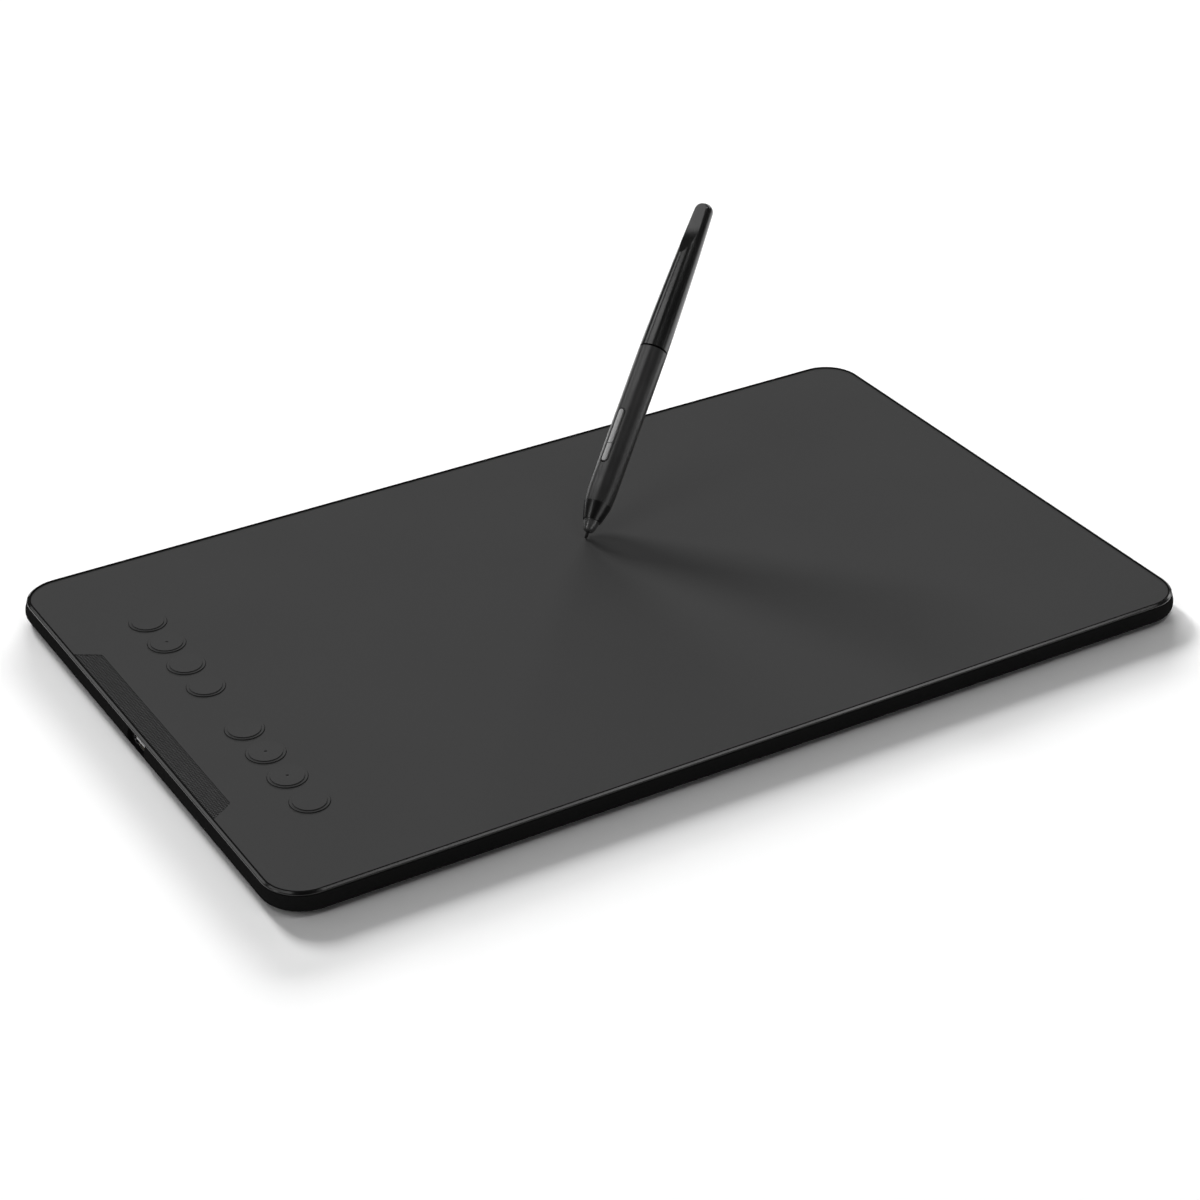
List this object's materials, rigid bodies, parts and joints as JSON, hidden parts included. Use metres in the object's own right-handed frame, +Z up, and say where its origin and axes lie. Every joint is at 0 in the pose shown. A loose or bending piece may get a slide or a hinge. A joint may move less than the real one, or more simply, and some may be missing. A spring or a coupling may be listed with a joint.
{
  "type": "graphics tablet",
  "caption": "Flat pen tablet with a column of round keys and a knurled strip by its left edge, and a cordless pen with two side buttons.",
  "frame": {"origin": "on the desk, under the middle of the tablet's outline", "axes": "+X along the long side away from the keys, +Y from the user's edge to the back edge, +Z up"},
  "size_m": [0.3528, 0.219, 0.0967],
  "materials": {
    "drawing_film": "fine matt texture",
    "case_plastic": "satin black moulded plastic",
    "key_plastic": "fine matt",
    "knurled_plastic": "knurled, matt",
    "rubber": "matt",
    "circuit_board": "solder resist",
    "chip_plastic": "matt",
    "shield_metal": "rolled sheet",
    "foam": "open cell",
    "steel": "plated",
    "ribbon_film": "polyimide film",
    "grip_plastic": "soft matt coat",
    "barrel_plastic": "satin",
    "gloss_plastic": "polished",
    "tip_plastic": "satin grey",
    "nib_plastic": "matt",
    "copper": "enamelled wire",
    "ferrite": "pressed powder"
  },
  "bodies": {
    "tablet": {"surface_sheet": "drawing_film", "top_cover": "case_plastic", "bottom_cover": "case_plastic", "grip_strip": "knurled_plastic", "sensor_board": "circuit_board", "sensor_shield": "shield_metal", "foam_strips": "foam", "controller_board": "circuit_board", "controller_chip": "chip_plastic", "board_components": "chip_plastic", "ribbon_socket": "chip_plastic", "ribbon_cable": "ribbon_film", "usb_shell": "steel", "usb_tongue": "chip_plastic", "key_switches": "chip_plastic", "cover_screws": "steel", "board_screws": "steel", "rubber_foot_1": "rubber", "rubber_foot_2": "rubber", "rubber_foot_3": "rubber", "rubber_foot_4": "rubber"},
    "key_1": {"key_cap_1": "key_plastic", "switch_plunger_1": "chip_plastic"},
    "key_2": {"key_cap_2": "key_plastic", "switch_plunger_2": "chip_plastic"},
    "key_3": {"key_cap_3": "key_plastic", "switch_plunger_3": "chip_plastic"},
    "key_4": {"key_cap_4": "key_plastic", "switch_plunger_4": "chip_plastic"},
    "key_5": {"key_cap_5": "key_plastic", "switch_plunger_5": "chip_plastic"},
    "key_6": {"key_cap_6": "key_plastic", "switch_plunger_6": "chip_plastic"},
    "key_7": {"key_cap_7": "key_plastic", "switch_plunger_7": "chip_plastic"},
    "key_8": {"key_cap_8": "key_plastic", "switch_plunger_8": "chip_plastic"},
    "pen": {"tip_cone": "tip_plastic", "front_cone": "gloss_plastic", "grip_sleeve": "grip_plastic", "seam_ring": "gloss_plastic", "upper_barrel": "barrel_plastic", "side_switches": "chip_plastic", "pen_carrier": "gloss_plastic", "pen_board": "circuit_board", "pen_components": "chip_plastic", "ferrite_core": "ferrite", "pen_coil": "copper", "pressure_sensor": "chip_plastic"},
    "nib": {"nib": "nib_plastic", "nib_holder": "gloss_plastic"},
    "lower_pen_button": {"lower_side_button": "tip_plastic"},
    "upper_pen_button": {"upper_side_button": "tip_plastic"}
  },
  "joints": [
    {"name": "key_1_press", "type": "slide", "parent": "tablet", "child": "key_1", "axis": [0, 0, -1], "range_m": [0, 0.00035], "stiffness_N_per_m": 4000},
    {"name": "key_2_press", "type": "slide", "parent": "tablet", "child": "key_2", "axis": [0, 0, -1], "range_m": [0, 0.00035], "stiffness_N_per_m": 4000},
    {"name": "key_3_press", "type": "slide", "parent": "tablet", "child": "key_3", "axis": [0, 0, -1], "range_m": [0, 0.00035], "stiffness_N_per_m": 4000},
    {"name": "key_4_press", "type": "slide", "parent": "tablet", "child": "key_4", "axis": [0, 0, -1], "range_m": [0, 0.00035], "stiffness_N_per_m": 4000},
    {"name": "key_5_press", "type": "slide", "parent": "tablet", "child": "key_5", "axis": [0, 0, -1], "range_m": [0, 0.00035], "stiffness_N_per_m": 4000},
    {"name": "key_6_press", "type": "slide", "parent": "tablet", "child": "key_6", "axis": [0, 0, -1], "range_m": [0, 0.00035], "stiffness_N_per_m": 4000},
    {"name": "key_7_press", "type": "slide", "parent": "tablet", "child": "key_7", "axis": [0, 0, -1], "range_m": [0, 0.00035], "stiffness_N_per_m": 4000},
    {"name": "key_8_press", "type": "slide", "parent": "tablet", "child": "key_8", "axis": [0, 0, -1], "range_m": [0, 0.00035], "stiffness_N_per_m": 4000},
    {"name": "pen_lift", "type": "slide", "parent": "tablet", "child": "pen", "axis": [0, 0, 1], "range_m": [0, 0.15]},
    {"name": "nib_press", "type": "slide", "parent": "pen", "child": "nib", "axis": [0.645, 0.4503, 0.6174], "range_m": [0, 0.0004], "stiffness_N_per_m": 2500},
    {"name": "lower_button_press", "type": "slide", "parent": "pen", "child": "lower_pen_button", "axis": [0.6644, 0.0688, -0.7442], "range_m": [0, 0.00035], "stiffness_N_per_m": 3000},
    {"name": "upper_button_press", "type": "slide", "parent": "pen", "child": "upper_pen_button", "axis": [0.6644, 0.0688, -0.7442], "range_m": [0, 0.00035], "stiffness_N_per_m": 3000}
  ]
}
